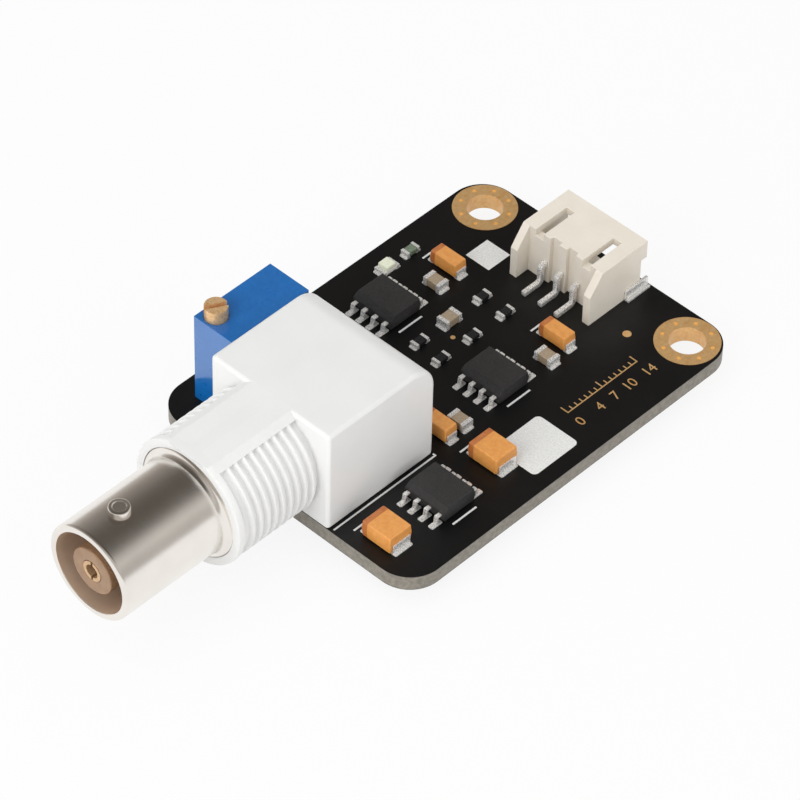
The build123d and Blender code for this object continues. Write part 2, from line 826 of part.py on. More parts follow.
# Moulded capacitor: drafted body over two strips that fold under its ends
def tantalum_body(point, width, length, height):
    with BuildPart() as body:
        for direction in (1, -1):
            with BuildSketch(Plane.XY.offset(board_top + tantalum_strip + height / 2)):
                with Locations(point):
                    Rectangle(width, length)
            extrude(amount=direction * height / 2, taper=tantalum_draft)
    return body


def tantalum_terminals(point, width, length, height):
    with BuildPart() as terminals:
        for side in (-1, 1):
            end = point[1] + side * length / 2
            with BuildSketch(back_view(point[0])):
                Polygon(
                    (end - side * tantalum_foot, board_top),
                    (end + side * tantalum_strip, board_top),
                    (end + side * tantalum_strip, board_top + tantalum_strip + height / 2),
                    (end, board_top + tantalum_strip + height / 2),
                    (end, board_top + tantalum_strip),
                    (end - side * tantalum_foot, board_top + tantalum_strip),
                    align=None,
                )
            extrude(amount=width * tantalum_strip_share / 2, both=True)
    return terminals


small_tantalum = (small_tantalum_width, small_tantalum_length, small_tantalum_height)
large_tantalum = (large_tantalum_width, large_tantalum_length, large_tantalum_height)
tantalums = [
    ((front_tantalum_x, far_tantalum_row), small_tantalum),
    ((front_tantalum_x, middle_tantalum_row), small_tantalum),
    ((corner_tantalum_x, near_row), large_tantalum),
    ((near_tantalum_x, near_row), large_tantalum),
    ((rear_tantalum_x, middle_tantalum_row + rear_capacitor_shift), small_tantalum),
]
for number, (point, size) in enumerate(tantalums, start=1):
    label_and_save(tantalum_body(point, *size), f"tantalum_{number}_body")
    label_and_save(tantalum_terminals(point, *size), f"tantalum_{number}_terminals")

# Two-ended chips: middle, half length, half width, height, end length and direction
ceramic = (ceramic_length, ceramic_width, ceramic_height, ceramic_end)
resistor = (resistor_length, resistor_width, resistor_height, resistor_end)
ceramics = [
    ((front_ceramic_x, far_ceramic_row), 90),
    ((chip_x + upper_ceramic_shift, upper_row), 0),
    ((front_ceramic_x, middle_ceramic_row), 90),
    ((rear_ceramic_x, middle_ceramic_row), 90),
]
end_resistor_x = front_ceramic_x + ceramic_width / 2 + end_resistor_shift
resistors = [
    ((end_resistor_x, upper_row), 0),
    ((end_resistor_x, lower_row), 0),
    ((chip_x + upper_ceramic_shift, lower_row), 0),
    ((chip_x + lower_resistor_shift, lower_row), 0),
    ((chip_x + upper_resistor_shift, upper_row), 0),
]


def two_ended_body(point, turn, size):
    length, width, height, end = size
    with BuildPart() as body:
        with BuildSketch(Plane.XY.offset(board_top + end_plating)):
            with Locations(Location(point, turn)):
                Rectangle(length - 2 * end_plating, width)
        extrude(amount=height)
    return body


def two_ended_terminals(places):
    with BuildPart() as terminals:
        for point, turn, size in places:
            length, width, height, end = size
            with BuildSketch(Plane.XY.offset(board_top)):
                with Locations(Location(point, turn)):
                    with Locations((-(length - end) / 2, 0), ((length - end) / 2, 0)):
                        Rectangle(end, width + 2 * end_plating)
            extrude(amount=height + 2 * end_plating)
        for point, turn, size in places:
            length, width, height, end = size
            with BuildSketch(Plane.XY.offset(board_top + end_plating)):
                with Locations(Location(point, turn)):
                    Rectangle(length - 2 * end_plating, width)
            extrude(amount=height, mode=Mode.SUBTRACT)
    return terminals


for number, (point, turn) in enumerate(ceramics, start=1):
    label_and_save(two_ended_body(point, turn, ceramic), f"ceramic_{number}_body")
label_and_save(
    two_ended_terminals([(point, turn, ceramic) for point, turn in ceramics]), "ceramic_terminals"
)
for number, (point, turn) in enumerate(resistors, start=1):
    label_and_save(two_ended_body(point, turn, resistor), f"resistor_{number}_body")

# The lamp and the diode beside the far edge
led_point = (chip_x + led_shift, led_row)
diode_point = (chip_x + diode_shift, led_row)
led = (led_length, led_width, led_base_height, resistor_end)
diode = (resistor_length, resistor_width, diode_height, resistor_end)
label_and_save(two_ended_body(led_point, 0, led), "led_base")
label_and_save(two_ended_body(diode_point, 0, diode), "diode_body")
with BuildPart() as led_lens:
    with BuildSketch(Plane.XY.offset(board_top + end_plating + led_base_height)):
        with Locations(led_point):
            Rectangle(led_lens_length, led_width)
    extrude(amount=led_lens_height, taper=chip_draft)
label_and_save(led_lens, "led_lens")
small_terminals = [(point, turn, resistor) for point, turn in resistors]
small_terminals = small_terminals + [(led_point, 0, led), (diode_point, 0, diode)]
label_and_save(two_ended_terminals(small_terminals), "chip_terminals")

# Solder under the board, round every pin that comes through, narrowing to its tip
with BuildPart() as solder_joints:
    for point, radius in drilled:
        with BuildSketch(Plane.XY.offset(board_bottom)):
            with Locations(point):
                RegularPolygon(radius + solder_spread, solder_sides, major_radius=False)
        extrude(amount=-solder_height)
    tip_edges = solder_joints.edges().group_by(Axis.Z)[0]
    chamfer(tip_edges, length=solder_spread - solder_tip_spread)
    for point, radius in drilled:
        with BuildSketch(Plane.XY.offset(board_bottom)):
            with Locations(point):
                RegularPolygon(radius + fit_gap, solder_sides, major_radius=False)
        extrude(amount=-solder_height, mode=Mode.SUBTRACT)
label_and_save(solder_joints, "solder_joints")
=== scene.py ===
import bpy
import bmesh
import math
from mathutils import Matrix, Vector


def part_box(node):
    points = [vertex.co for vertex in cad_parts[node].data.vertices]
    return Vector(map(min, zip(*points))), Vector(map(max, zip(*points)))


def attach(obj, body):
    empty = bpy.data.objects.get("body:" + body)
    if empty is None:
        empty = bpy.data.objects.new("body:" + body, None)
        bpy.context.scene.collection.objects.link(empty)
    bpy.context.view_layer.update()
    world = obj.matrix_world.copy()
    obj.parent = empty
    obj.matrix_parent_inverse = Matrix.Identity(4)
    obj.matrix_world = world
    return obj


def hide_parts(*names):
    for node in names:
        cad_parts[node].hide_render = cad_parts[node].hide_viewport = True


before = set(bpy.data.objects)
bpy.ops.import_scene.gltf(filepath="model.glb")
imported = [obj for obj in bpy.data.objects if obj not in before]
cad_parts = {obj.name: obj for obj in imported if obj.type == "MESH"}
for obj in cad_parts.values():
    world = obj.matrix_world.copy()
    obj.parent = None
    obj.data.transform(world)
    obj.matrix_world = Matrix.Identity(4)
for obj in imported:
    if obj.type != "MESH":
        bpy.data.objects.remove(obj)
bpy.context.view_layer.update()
mm = 0.001
print("frame loaded")

# places that the pieces share, read from the CAD nodes
boardLow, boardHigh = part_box("circuit_board")
housingLow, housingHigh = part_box("bnc_housing")
shellLow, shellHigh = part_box("bnc_shell")
boardTop = boardHigh.z
coaxY = (housingLow.y + housingHigh.y) / 2
coaxZ = (shellLow.z + shellHigh.z) / 2
coaxFront = shellLow.x
coaxCentre = Vector((0, coaxY, coaxZ))

# angles in degrees, gap in metres
meshSettings = {"sharpAngle": 32, "flatAngle": 1, "mergeGap": 2e-6}


def finishPiece(name, bm, material, replaced=()):
    mesh = bpy.data.meshes.new(name)
    bmesh.ops.recalc_face_normals(bm, faces=bm.faces)
    for face in bm.faces:
        face.smooth = True
    bm.to_mesh(mesh)
    bm.free()
    mesh.set_sharp_from_angle(angle=math.radians(meshSettings["sharpAngle"]))
    piece = bpy.data.objects.new(name, mesh)
    bpy.context.collection.objects.link(piece)
    materials = material if isinstance(material, (list, tuple)) else [material]
    for entry in materials:
        mesh.materials.append(entry)
    normals = piece.modifiers.new("evenNormals", "WEIGHTED_NORMAL")
    normals.keep_sharp = True
    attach(piece, "board")  # every new piece hangs under the board's empty; the screw and the wheel are CAD nodes and are not attached here
    if replaced:
        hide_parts(*replaced)


def bevelEdges(bm, edges, width, segments):
    bmesh.ops.bevel(
        bm, geom=edges, offset=width, offset_type="OFFSET", segments=segments,
        profile=0.5, affect="EDGES", material=-1, clamp_overlap=True,
    )


def addBlock(bm, low, high):
    size = Vector(high) - Vector(low)
    middle = (Vector(high) + Vector(low)) / 2
    place = Matrix.Translation(middle) @ Matrix.Diagonal((*size, 1))
    return bmesh.ops.create_cube(bm, size=1, matrix=place)["verts"]


def addDisc(bm, x, y, middleZ, radius, thick, segments):
    # all in millimetres but middleZ, the height of its middle in metres
    bmesh.ops.create_cone(
        bm, cap_ends=True, segments=segments, radius1=radius * mm, radius2=radius * mm,
        depth=thick * mm, matrix=Matrix.Translation((x * mm, y * mm, middleZ)),
    )


def edgesOf(verts):
    return list(dict.fromkeys(edge for vert in verts for edge in vert.link_edges))


def uprightEdges(verts):
    return [edge for edge in edgesOf(verts) if abs(edge.verts[0].co.z - edge.verts[1].co.z) > 1e-6]


def turnProfile(bm, points, steps):
    # points are (distance along X, radius) round a closed section
    verts = [bm.verts.new((x, coaxY, coaxZ + r)) for x, r in points]
    edges = [bm.edges.new((a, b)) for a, b in zip(verts, verts[1:] + verts[:1])]
    bmesh.ops.spin(
        bm, geom=verts + edges, cent=coaxCentre, axis=(1, 0, 0), dvec=(0, 0, 0),
        angle=2 * math.pi, steps=steps, use_merge=True, use_duplicate=False,
    )
    bmesh.ops.remove_doubles(bm, verts=bm.verts, dist=1e-7)


def sweepSection(bm, points, angle, steps, advance=0.0):
    # winds a face round the coaxial axis, moved on by advance at each step
    verts = [bm.verts.new(point) for point in points]
    side = bm.faces.new(verts)
    bmesh.ops.spin(
        bm, geom=verts + list(side.edges) + [side], cent=coaxCentre, axis=(1, 0, 0),
        dvec=(advance, 0, 0), angle=angle, steps=steps, use_merge=False, use_duplicate=False,
    )


def cutFlat(bm, height):
    bmesh.ops.bisect_plane(
        bm, geom=bm.verts[:] + bm.edges[:] + bm.faces[:], dist=1e-7,
        plane_co=(0, 0, height), plane_no=(0, 0, 1), clear_outer=True,
    )
    bmesh.ops.holes_fill(bm, edges=[edge for edge in bm.edges if edge.is_boundary], sides=0)


def joinInto(target, source):
    mesh = bpy.data.meshes.new("joined")
    bmesh.ops.recalc_face_normals(source, faces=source.faces)
    source.to_mesh(mesh)
    source.free()
    target.from_mesh(mesh)
    bpy.data.meshes.remove(mesh)


def nodeFrame(node):
    # middle and size of a CAD node on the board, in millimetres
    low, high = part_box(node)
    middle = (low + high) / 2 / mm
    return middle.x, middle.y, (high.x - low.x) / mm, (high.y - low.y) / mm


# shader node groups that several materials share


def newGroup(name, inputs, outputs):
    group = bpy.data.node_groups.new(name, "ShaderNodeTree")
    for label, value in inputs:
        socket = group.interface.new_socket(
            name=label, in_out="INPUT", socket_type="NodeSocketFloat"
        )
        socket.default_value = value
    for label in outputs:
        group.interface.new_socket(name=label, in_out="OUTPUT", socket_type="NodeSocketFloat")
    return group


def addNode(tree, kind, x=0, y=0, **values):
    node = tree.nodes.new(kind)
    node.location = (x, y)
    for key, value in values.items():
        setattr(node, key, value)
    return node


def setInputs(node, values):
    for key, value in values.items():
        node.inputs[key].default_value = value


def joinNodes(tree, *pairs):
    for source, target in pairs:
        tree.links.new(source, target)


def makeGrainGroup():
    # soft noise with its own scale and contrast, as a mask
    group = newGroup(
        "surfaceGrain", [("Scale", 1500.0), ("Detail", 4.0), ("Low", 0.0), ("High", 1.0)], ["Mask"]
    )
    inside = addNode(group, "NodeGroupInput", -600)
    place = addNode(group, "ShaderNodeTexCoord", -600, 200)
    noise = addNode(group, "ShaderNodeTexNoise", -300)
    spread = addNode(group, "ShaderNodeMapRange", 0)
    setInputs(spread, {"From Min": 0.3, "From Max": 0.7})  # where the noise is empty and full
    outside = addNode(group, "NodeGroupOutput", 300)
    joinNodes(
        group,
        (place.outputs["Object"], noise.inputs["Vector"]),
        (inside.outputs["Scale"], noise.inputs["Scale"]),
        (inside.outputs["Detail"], noise.inputs["Detail"]),
        (noise.outputs["Fac"], spread.inputs["Value"]),
        (inside.outputs["Low"], spread.inputs["To Min"]),
        (inside.outputs["High"], spread.inputs["To Max"]),
        (spread.outputs["Result"], outside.inputs["Mask"]),
    )
    return group


def makeTurningGroup():
    # fine rings round the X axis, as left by a lathe
    group = newGroup("turningRings", [("Spacing", 9000.0), ("Stretch", 60.0)], ["Mask"])
    inside = addNode(group, "NodeGroupInput", -900)
    place = addNode(group, "ShaderNodeTexCoord", -900, 200)
    split = addNode(group, "ShaderNodeSeparateXYZ", -700, 200)
    along = addNode(group, "ShaderNodeMath", -500, 200, operation="MULTIPLY")
    across = addNode(group, "ShaderNodeMath", -500, 0, operation="MULTIPLY")
    upward = addNode(group, "ShaderNodeMath", -500, -200, operation="MULTIPLY")
    joined = addNode(group, "ShaderNodeCombineXYZ", -300)
    noise = addNode(group, "ShaderNodeTexNoise", -100)
    setInputs(noise, {"Scale": 1.0, "Detail": 2.0})
    outside = addNode(group, "NodeGroupOutput", 200)
    joinNodes(
        group,
        (place.outputs["Object"], split.inputs["Vector"]),
        (split.outputs["X"], along.inputs[0]),
        (inside.outputs["Spacing"], along.inputs[1]),
        (split.outputs["Y"], across.inputs[0]),
        (inside.outputs["Stretch"], across.inputs[1]),
        (split.outputs["Z"], upward.inputs[0]),
        (inside.outputs["Stretch"], upward.inputs[1]),
        (along.outputs[0], joined.inputs["X"]),
        (across.outputs[0], joined.inputs["Y"]),
        (upward.outputs[0], joined.inputs["Z"]),
        (joined.outputs["Vector"], noise.inputs["Vector"]),
        (noise.outputs["Fac"], outside.inputs["Mask"]),
    )
    return group


def makeWearGroup():
    # rubbed places, where corners stand out, broken up by noise
    group = newGroup("cornerWear", [("Scale", 3000.0), ("Amount", 0.5)], ["Mask"])
    inside = addNode(group, "NodeGroupInput", -900)
    shape = addNode(group, "ShaderNodeNewGeometry", -900, 300)
    corner = addNode(group, "ShaderNodeMapRange", -600, 300)
    setInputs(corner, {"From Min": 0.51, "From Max": 0.58})  # pointiness is 0.5 on a flat face
    place = addNode(group, "ShaderNodeTexCoord", -900, 0)
    noise = addNode(group, "ShaderNodeTexNoise", -600)
    broken = addNode(group, "ShaderNodeMath", -300, operation="MULTIPLY")
    limited = addNode(group, "ShaderNodeMath", -100, operation="MULTIPLY", use_clamp=True)
    outside = addNode(group, "NodeGroupOutput", 200)
    joinNodes(
        group,
        (shape.outputs["Pointiness"], corner.inputs["Value"]),
        (place.outputs["Object"], noise.inputs["Vector"]),
        (inside.outputs["Scale"], noise.inputs["Scale"]),
        (corner.outputs["Result"], broken.inputs[0]),
        (noise.outputs["Fac"], broken.inputs[1]),
        (broken.outputs[0], limited.inputs[0]),
        (inside.outputs["Amount"], limited.inputs[1]),
        (limited.outputs[0], outside.inputs["Mask"]),
    )
    return group


grainGroup = makeGrainGroup()
turningGroup = makeTurningGroup()
wearGroup = makeWearGroup()
print("node groups made")

# materials


def startMaterial(name, roughness, metallic=0.0, plain=None):
    material = bpy.data.materials.new(name)
    material.use_nodes = True
    tree = material.node_tree
    shader = tree.nodes["Principled BSDF"]
    setInputs(shader, {"Roughness": roughness, "Metallic": metallic})
    setInputs(shader, plain or {})
    return material, tree, shader


def useGroup(tree, group, x, y, values=None):
    node = addNode(tree, "ShaderNodeGroup", x, y, node_tree=group)
    setInputs(node, values or {})
    return node.outputs["Mask"]


def mixColours(tree, factor, first, second, x=-200, y=200):
    # first and second are colours or sockets
    mix = addNode(tree, "ShaderNodeMix", x, y, data_type="RGBA")
    for key, colour in (("A", first), ("B", second)):
        if hasattr(colour, "is_output"):
            tree.links.new(colour, mix.inputs[key])
        else:
            mix.inputs[key].default_value = (*colour, 1)
    tree.links.new(factor, mix.inputs["Factor"])
    return mix.outputs["Result"]


def addBump(tree, shader, height, distance):
    bump = addNode(tree, "ShaderNodeBump", -200, -300)
    setInputs(bump, {"Strength": 1.0, "Distance": distance * mm})
    tree.links.new(height, bump.inputs["Height"])
    tree.links.new(bump.outputs["Normal"], shader.inputs["Normal"])


# what all the grainy materials share: noise detail, and how much finer gloss is than colour
grainSettings = {"colourDetail": 3.0, "glossDetail": 5.0, "reliefDetail": 6.0, "glossScale": 1.7}


def grainyMaterial(
    name, light, dark, roughness, grain, bump=None, metallic=0.0, worn=None, plain=None
):
    # grain is (scale per metre, roughness spread), bump (scale, height in mm),
    # worn (colour, amount) and plain sets the shader's own sockets
    s = grainSettings
    scale, unevenness = grain
    material, tree, shader = startMaterial(name, roughness, metallic, plain)
    cloud = useGroup(tree, grainGroup, -600, 200, {"Scale": scale, "Detail": s["colourDetail"]})
    colour = mixColours(tree, cloud, dark, light)
    if worn:
        rubbed = useGroup(tree, wearGroup, -400, 400, {"Amount": worn[1]})
        colour = mixColours(tree, rubbed, colour, worn[0], 0, 400)
    tree.links.new(colour, shader.inputs["Base Color"])
    gloss = useGroup(
        tree, grainGroup, -600, -50,
        {
            "Scale": scale * s["glossScale"], "Detail": s["glossDetail"],
            "Low": roughness - unevenness, "High": roughness + unevenness,
        },
    )
    tree.links.new(gloss, shader.inputs["Roughness"])
    if bump:
        relief = useGroup(
            tree, grainGroup, -600, -300, {"Scale": bump[0], "Detail": s["reliefDetail"]}
        )
        addBump(tree, shader, relief, bump[1])
    return material


whiteMoulding = grainyMaterial(
    "whiteMoulding", light=(0.80, 0.80, 0.79), dark=(0.775, 0.775, 0.765), roughness=0.38,
    grain=(260, 0.05), bump=(5200, 0.004), worn=((0.86, 0.86, 0.85), 0.4),
)
blueMoulding = grainyMaterial(
    "blueMoulding", light=(0.0, 0.125, 0.43), dark=(0.0, 0.108, 0.38), roughness=0.3,
    grain=(420, 0.05), bump=(7000, 0.003), worn=((0.02, 0.2, 0.56), 0.5),
    plain={
        "Specular IOR Level": 0.35, "Coat Weight": 1.0, "Coat Roughness": 0.1, "Coat IOR": 1.6,
    },
)
creamMoulding = grainyMaterial(
    "creamMoulding", light=(0.82, 0.76, 0.66), dark=(0.78, 0.71, 0.61), roughness=0.48,
    grain=(500, 0.06), bump=(6000, 0.005), worn=((0.84, 0.79, 0.71), 0.4),
)
goldPlate = grainyMaterial(
    "goldPlate", light=(0.78, 0.42, 0.135), dark=(0.66, 0.33, 0.095), roughness=0.36,
    grain=(2600, 0.08), bump=(9000, 0.004), metallic=0.5, worn=((0.95, 0.74, 0.42), 0.6),
)
tinPlate = grainyMaterial(
    "tinPlate", light=(0.93, 0.92, 0.90), dark=(0.78, 0.76, 0.73), roughness=0.28,
    grain=(3800, 0.10), bump=(9000, 0.004), metallic=0.5, worn=((0.96, 0.95, 0.93), 0.6),
)
turnedBrass = grainyMaterial(
    "turnedBrass", light=(0.86, 0.47, 0.19), dark=(0.66, 0.33, 0.11), roughness=0.34,
    grain=(3000, 0.10), bump=(12000, 0.006), metallic=0.5, worn=((0.93, 0.76, 0.48), 0.7),
)
dullContact = grainyMaterial(
    "dullContact", light=(0.62, 0.40, 0.22), dark=(0.50, 0.31, 0.16), roughness=0.4,
    grain=(3000, 0.08), bump=(9000, 0.004), metallic=0.5, worn=((0.80, 0.58, 0.36), 0.5),
)
# bright orange: painted highlights on the vias round the mounting holes
viaPaintedHighlight = grainyMaterial(
    "viaPaintedHighlight", light=(1.0, 0.52, 0.14), dark=(0.86, 0.40, 0.09), roughness=0.4,
    grain=(9000, 0.05), metallic=0.2,
)
chipMoulding = grainyMaterial(
    "chipMoulding", light=(0.028, 0.027, 0.026), dark=(0.017, 0.016, 0.016), roughness=0.5,
    grain=(5000, 0.08), bump=(16000, 0.012), worn=((0.06, 0.06, 0.062), 0.5),
)
ceramicBody = grainyMaterial(
    "ceramicBody", light=(0.42, 0.33, 0.23), dark=(0.30, 0.23, 0.15), roughness=0.55,
    grain=(6000, 0.08), bump=(14000, 0.006),
)
resistorTop = grainyMaterial(
    "resistorTop", light=(0.020, 0.020, 0.022), dark=(0.010, 0.010, 0.012), roughness=0.28,
    grain=(7000, 0.06), bump=(9000, 0.006),
)
# dull brown: painted shade on the insulator, which lies weakly lit in the socket's mouth
insulatorPlasticPaintedShade = grainyMaterial(
    "insulatorPlasticPaintedShade", light=(0.33, 0.20, 0.115), dark=(0.27, 0.16, 0.09), roughness=0.42,
    grain=(900, 0.06), bump=(6000, 0.004),
)
rubberRing = grainyMaterial(
    "rubberRing", light=(0.02, 0.02, 0.02), dark=(0.012, 0.012, 0.012), roughness=0.6,
    grain=(3000, 0.05), bump=(9000, 0.006),
)
baseResin = grainyMaterial(
    "baseResin", light=(0.03, 0.08, 0.2), dark=(0.02, 0.06, 0.16), roughness=0.45,
    grain=(1800, 0.06), bump=(5000, 0.01),
)
ceramicPlate = grainyMaterial(
    "ceramicPlate", light=(0.82, 0.81, 0.77), dark=(0.76, 0.75, 0.70), roughness=0.5,
    grain=(4000, 0.05), bump=(9000, 0.004),
)
rotorPlastic = grainyMaterial(
    "rotorPlastic", light=(0.72, 0.70, 0.64), dark=(0.66, 0.64, 0.58), roughness=0.45,
    grain=(2400, 0.05), bump=(7000, 0.004),
)
lampBase = grainyMaterial(
    "lampBase", light=(0.84, 0.83, 0.78), dark=(0.76, 0.75, 0.70), roughness=0.4,
    grain=(5000, 0.05), bump=(9000, 0.004),
)
lampLens = grainyMaterial(
    "lampLens", light=(0.86, 0.87, 0.70), dark=(0.74, 0.77, 0.58), roughness=0.18,
    grain=(4000, 0.04),
)
diodeGlass = grainyMaterial(
    "diodeGlass", light=(0.22, 0.27, 0.19), dark=(0.12, 0.16, 0.11), roughness=0.15,
    grain=(5000, 0.04),
)
whitePrint = grainyMaterial(
    "whitePrint", light=(0.82, 0.82, 0.80), dark=(0.66, 0.66, 0.64), roughness=0.6,
    grain=(7000, 0.06), bump=(12000, 0.004),
)

nickelSettings = {"cloudScale": 320.0, "smoother": 0.06, "rougher": 0.08, "ringHeight": 0.003}


def nickelMaterial(name, light, dark, roughness, metallic):
    s = nickelSettings
    material, tree, shader = startMaterial(name, roughness, metallic)
    rings = useGroup(tree, turningGroup, -800, 0)
    cloud = useGroup(tree, grainGroup, -800, 300, {"Scale": s["cloudScale"], "Detail": 4.0})
    colour = mixColours(tree, cloud, dark, light)
    tree.links.new(colour, shader.inputs["Base Color"])
    gloss = addNode(tree, "ShaderNodeMapRange", -400, -50)
    setInputs(gloss, {"To Min": roughness - s["smoother"], "To Max": roughness + s["rougher"]})
    joinNodes(
        tree,
        (rings, gloss.inputs["Value"]),
        (gloss.outputs["Result"], shader.inputs["Roughness"]),
    )
    addBump(tree, shader, rings, s["ringHeight"])
    return material


nickelPlate = nickelMaterial("nickelPlate", (0.90, 0.86, 0.81), (0.84, 0.80, 0.75), 0.2, 1.0)
# a darker, warmer copy of the nickel for the inside of the bore: painted shade and a painted warm
# reflection
nickelBorePaintedShade = nickelMaterial("nickelBorePaintedShade", (0.82, 0.63, 0.48), (0.70, 0.53, 0.39), 0.42, 0.5)

boardSettings = {
    "fibreDark": (0.17, 0.155, 0.128), "fibreLight": (0.27, 0.245, 0.205), "fibreScale": 2600.0,
    "maskDark": (0.0035, 0.0035, 0.0038), "maskLight": (0.006, 0.006, 0.0062), "maskScale": 180.0,
    # how far from the board's middle the mask begins and is whole, as shares of its thickness
    "maskFrom": 0.462, "maskFull": 0.482,
    "weaveScale": 1900.0, "weaveHeight": 0.004,
    "roughness": 0.42, "smoothest": 0.36, "roughest": 0.48, "glossScale": 340.0, "specular": 0.35,
}


def boardMaterial(s):
    # dark mask on both faces and the pale glass-fibre edge between them
    material, tree, shader = startMaterial(
        "boardLaminate", s["roughness"], plain={"Specular IOR Level": s["specular"]}
    )
    place = addNode(tree, "ShaderNodeTexCoord", -1200)
    split = addNode(tree, "ShaderNodeSeparateXYZ", -1000)
    height = addNode(tree, "ShaderNodeMapRange", -800)
    setInputs(height, {"From Min": boardLow.z, "From Max": boardHigh.z})
    middle = addNode(tree, "ShaderNodeMath", -600, operation="SUBTRACT")
    middle.inputs[1].default_value = 0.5
    away = addNode(tree, "ShaderNodeMath", -450, operation="ABSOLUTE")
    face = addNode(tree, "ShaderNodeMapRange", -300)
    setInputs(face, {"From Min": s["maskFrom"], "From Max": s["maskFull"]})
    fibre = useGroup(tree, grainGroup, -800, 500, {"Scale": s["fibreScale"], "Detail": 6.0})
    fibreColour = mixColours(tree, fibre, s["fibreDark"], s["fibreLight"], -500, 500)
    cloud = useGroup(tree, grainGroup, -800, 300, {"Scale": s["maskScale"], "Detail": 5.0})
    maskColour = mixColours(tree, cloud, s["maskDark"], s["maskLight"], -500, 300)
    colour = mixColours(tree, face.outputs["Result"], fibreColour, maskColour, -100, 400)
    weave = addNode(tree, "ShaderNodeTexVoronoi", -800, -300)
    setInputs(weave, {"Scale": s["weaveScale"]})
    gloss = useGroup(
        tree, grainGroup, -600, -50,
        {
            "Scale": s["glossScale"], "Detail": 4.0, "Low": s["smoothest"], "High": s["roughest"],
        },
    )
    joinNodes(
        tree,
        (place.outputs["Object"], split.inputs["Vector"]),
        (split.outputs["Z"], height.inputs["Value"]),
        (height.outputs["Result"], middle.inputs[0]),
        (middle.outputs[0], away.inputs[0]),
        (away.outputs[0], face.inputs["Value"]),
        (colour, shader.inputs["Base Color"]),
        (place.outputs["Object"], weave.inputs["Vector"]),
        (gloss, shader.inputs["Roughness"]),
    )
    addBump(tree, shader, weave.outputs["Distance"], s["weaveHeight"])
    return material


boardLaminate = boardMaterial(boardSettings)

tantalumSettings = {
    "light": (0.76, 0.32, 0.070), "dark": (0.66, 0.25, 0.048), "cloudScale": 2400.0,
    "band": (0.42, 0.095, 0.018), "bandShare": 0.2, "bandSoft": 0.03,
    "worn": (0.86, 0.46, 0.16), "wornAmount": 0.4, "roughness": 0.45,
    "reliefScale": 12000.0, "reliefHeight": 0.006,
}


def tantalumMaterial(number, s):
    # orange moulding with a darker band at its marked end
    low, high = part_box(f"tantalum_{number}_body")
    bandFrom = high.y - s["bandShare"] * (high.y - low.y)
    material, tree, shader = startMaterial(f"tantalumMoulding{number}", s["roughness"])
    place = addNode(tree, "ShaderNodeTexCoord", -1200)
    centred = addNode(tree, "ShaderNodeMapping", -1000)
    setInputs(centred, {"Location": (0, -bandFrom, 0)})
    split = addNode(tree, "ShaderNodeSeparateXYZ", -800)
    band = addNode(tree, "ShaderNodeMapRange", -600)
    setInputs(band, {"From Min": -s["bandSoft"] * mm, "From Max": s["bandSoft"] * mm})
    cloud = useGroup(tree, grainGroup, -800, 300, {"Scale": s["cloudScale"], "Detail": 4.0})
    orange = mixColours(tree, cloud, s["dark"], s["light"], -500, 300)
    colour = mixColours(tree, band.outputs["Result"], orange, s["band"], -200, 300)
    rubbed = useGroup(tree, wearGroup, -400, 500, {"Amount": s["wornAmount"]})
    colour = mixColours(tree, rubbed, colour, s["worn"], 0, 500)
    relief = useGroup(tree, grainGroup, -600, -300, {"Scale": s["reliefScale"], "Detail": 5.0})
    joinNodes(
        tree,
        (place.outputs["Object"], centred.inputs["Vector"]),
        (centred.outputs["Vector"], split.inputs["Vector"]),
        (split.outputs["Y"], band.inputs["Value"]),
        (colour, shader.inputs["Base Color"]),
    )
    addBump(tree, shader, relief, s["reliefHeight"])
    return material


print("materials made")

# coaxial socket: moulded housing with its threaded neck

housingSettings = {
    "depth": 13.3, "rearRadius": 2.8, "rearSteps": 12, "edge": 0.4, "edgeSteps": 4,
    "neckRadius": 6.35, "rootRadius": 5.92, "boreRadius": 4.83, "neckSteps": 160,
    "neckInset": 0.6, "collar": 0.8, "collarRamp": 0.3, "softEdge": 0.12,
    "seatRadius": 5.52, "seatDepth": 0.82,
    # the flat on top: its height over the axis, and how far each form lies under it
    "flatHeight": 5.9, "rootSink": 0.006, "landSink": 0.012, "threadSink": 0.06,
    "landAngle": 31, "landInset": 0.5, "landSteps": 24,
    "pitch": 0.907, "turns": 9, "stepsPerTurn": 96, "threadStart": 0.45,
    # the ridge: (share of the pitch, share of the thread's height)
    "ridge": [
        (-0.46, -0.25), (-0.33, 0.12), (-0.2, 0.62), (-0.09, 0.93),
        (0.09, 0.93), (0.2, 0.62), (0.33, 0.12), (0.46, -0.25),
    ],
}


